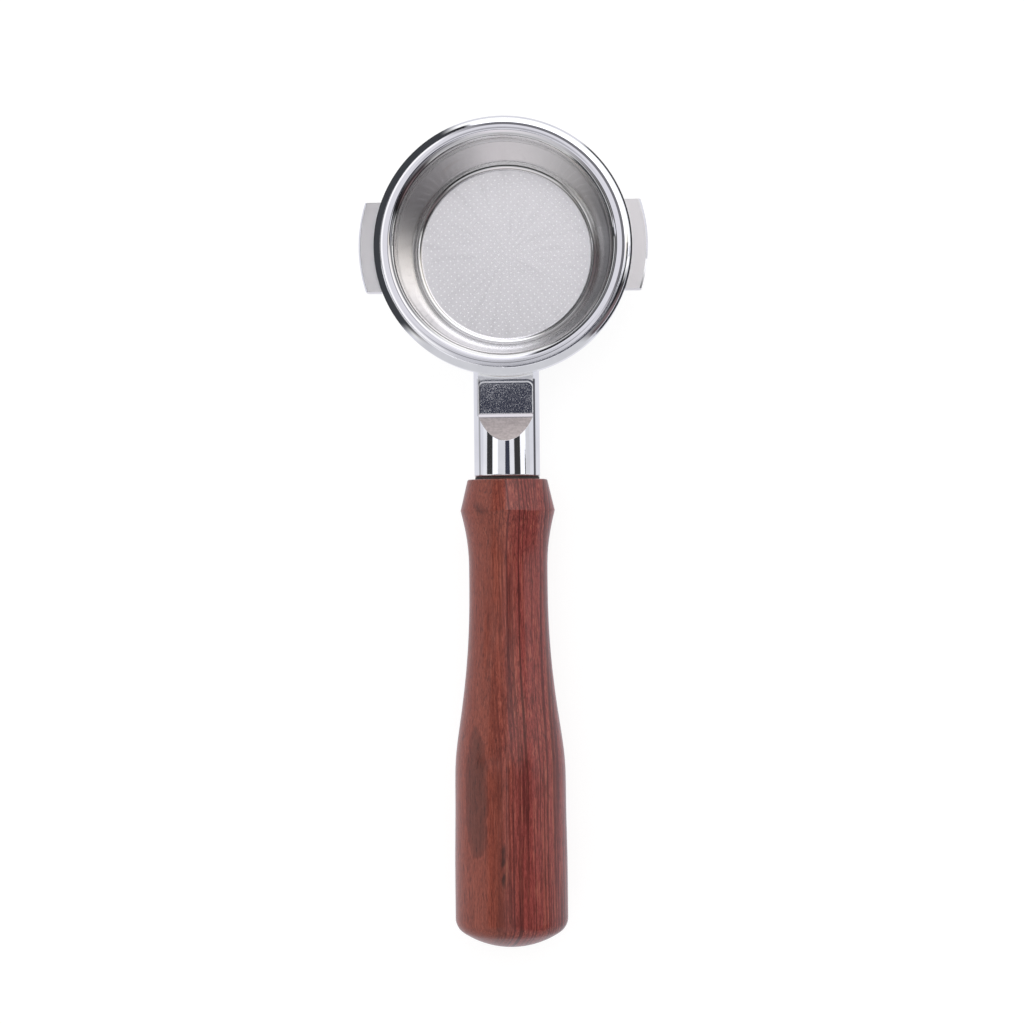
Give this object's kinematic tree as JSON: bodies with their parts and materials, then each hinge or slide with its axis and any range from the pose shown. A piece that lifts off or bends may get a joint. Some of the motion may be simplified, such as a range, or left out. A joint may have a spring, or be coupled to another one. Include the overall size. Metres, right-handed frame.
{
  "type": "bottomless portafilter",
  "caption": "Bottomless espresso portafilter: bayonet ring with lugs and neck, lift-out filter basket held by a wire spring, and a screw-on turned wooden handle.",
  "frame": {"origin": "on the axis of the ring, level with the top faces of the two bayonet lugs", "axes": "+Z along the ring's axis, up towards the group head; the handle runs out along -Y; +X to the right with the handle towards the user"},
  "size_m": [0.0796, 0.23, 0.0326],
  "materials": {
    "holder_steel": "polished, with satin machined lug tops and ramp",
    "basket_steel": "bright pressed stainless sheet",
    "spring_steel": "drawn spring wire",
    "washer_rubber": "matt",
    "stud_steel": "rolled thread, plated",
    "insert_brass": "turned",
    "grip_wood": "reddish-brown rosewood under gloss lacquer"
  },
  "bodies": {
    "holder": {"holder_body": "holder_steel"},
    "spring": {"basket_spring": "spring_steel"},
    "basket": {"filter_basket": "basket_steel"},
    "washer": {"neck_washer": "washer_rubber"},
    "handle": {"handle_grip": "grip_wood", "handle_insert": "insert_brass", "handle_stud": "stud_steel"}
  },
  "joints": [
    {"name": "spring_turn", "type": "hinge", "parent": "holder", "child": "spring", "pos_m": [0, 0, -0.00315], "axis": [0, 0, 1], "continuous": true},
    {"name": "basket_lift", "type": "slide", "parent": "spring", "child": "basket", "axis": [0, 0, 1], "range_m": [0, 0.032], "deforming": ["basket_spring"]},
    {"name": "washer_draw", "type": "slide", "parent": "holder", "child": "washer", "axis": [0, -1, 0], "range_m": [0, 0.0123]},
    {"name": "handle_screw", "type": "hinge", "parent": "washer", "child": "handle", "pos_m": [0, -0.064, -0.013], "axis": [0, -1, 0], "range_deg": [0, 2520]}
  ],
  "couplings": [
    {"joint": "washer_draw", "follows": "handle_screw", "m_per_rad": 0.00027852}
  ]
}
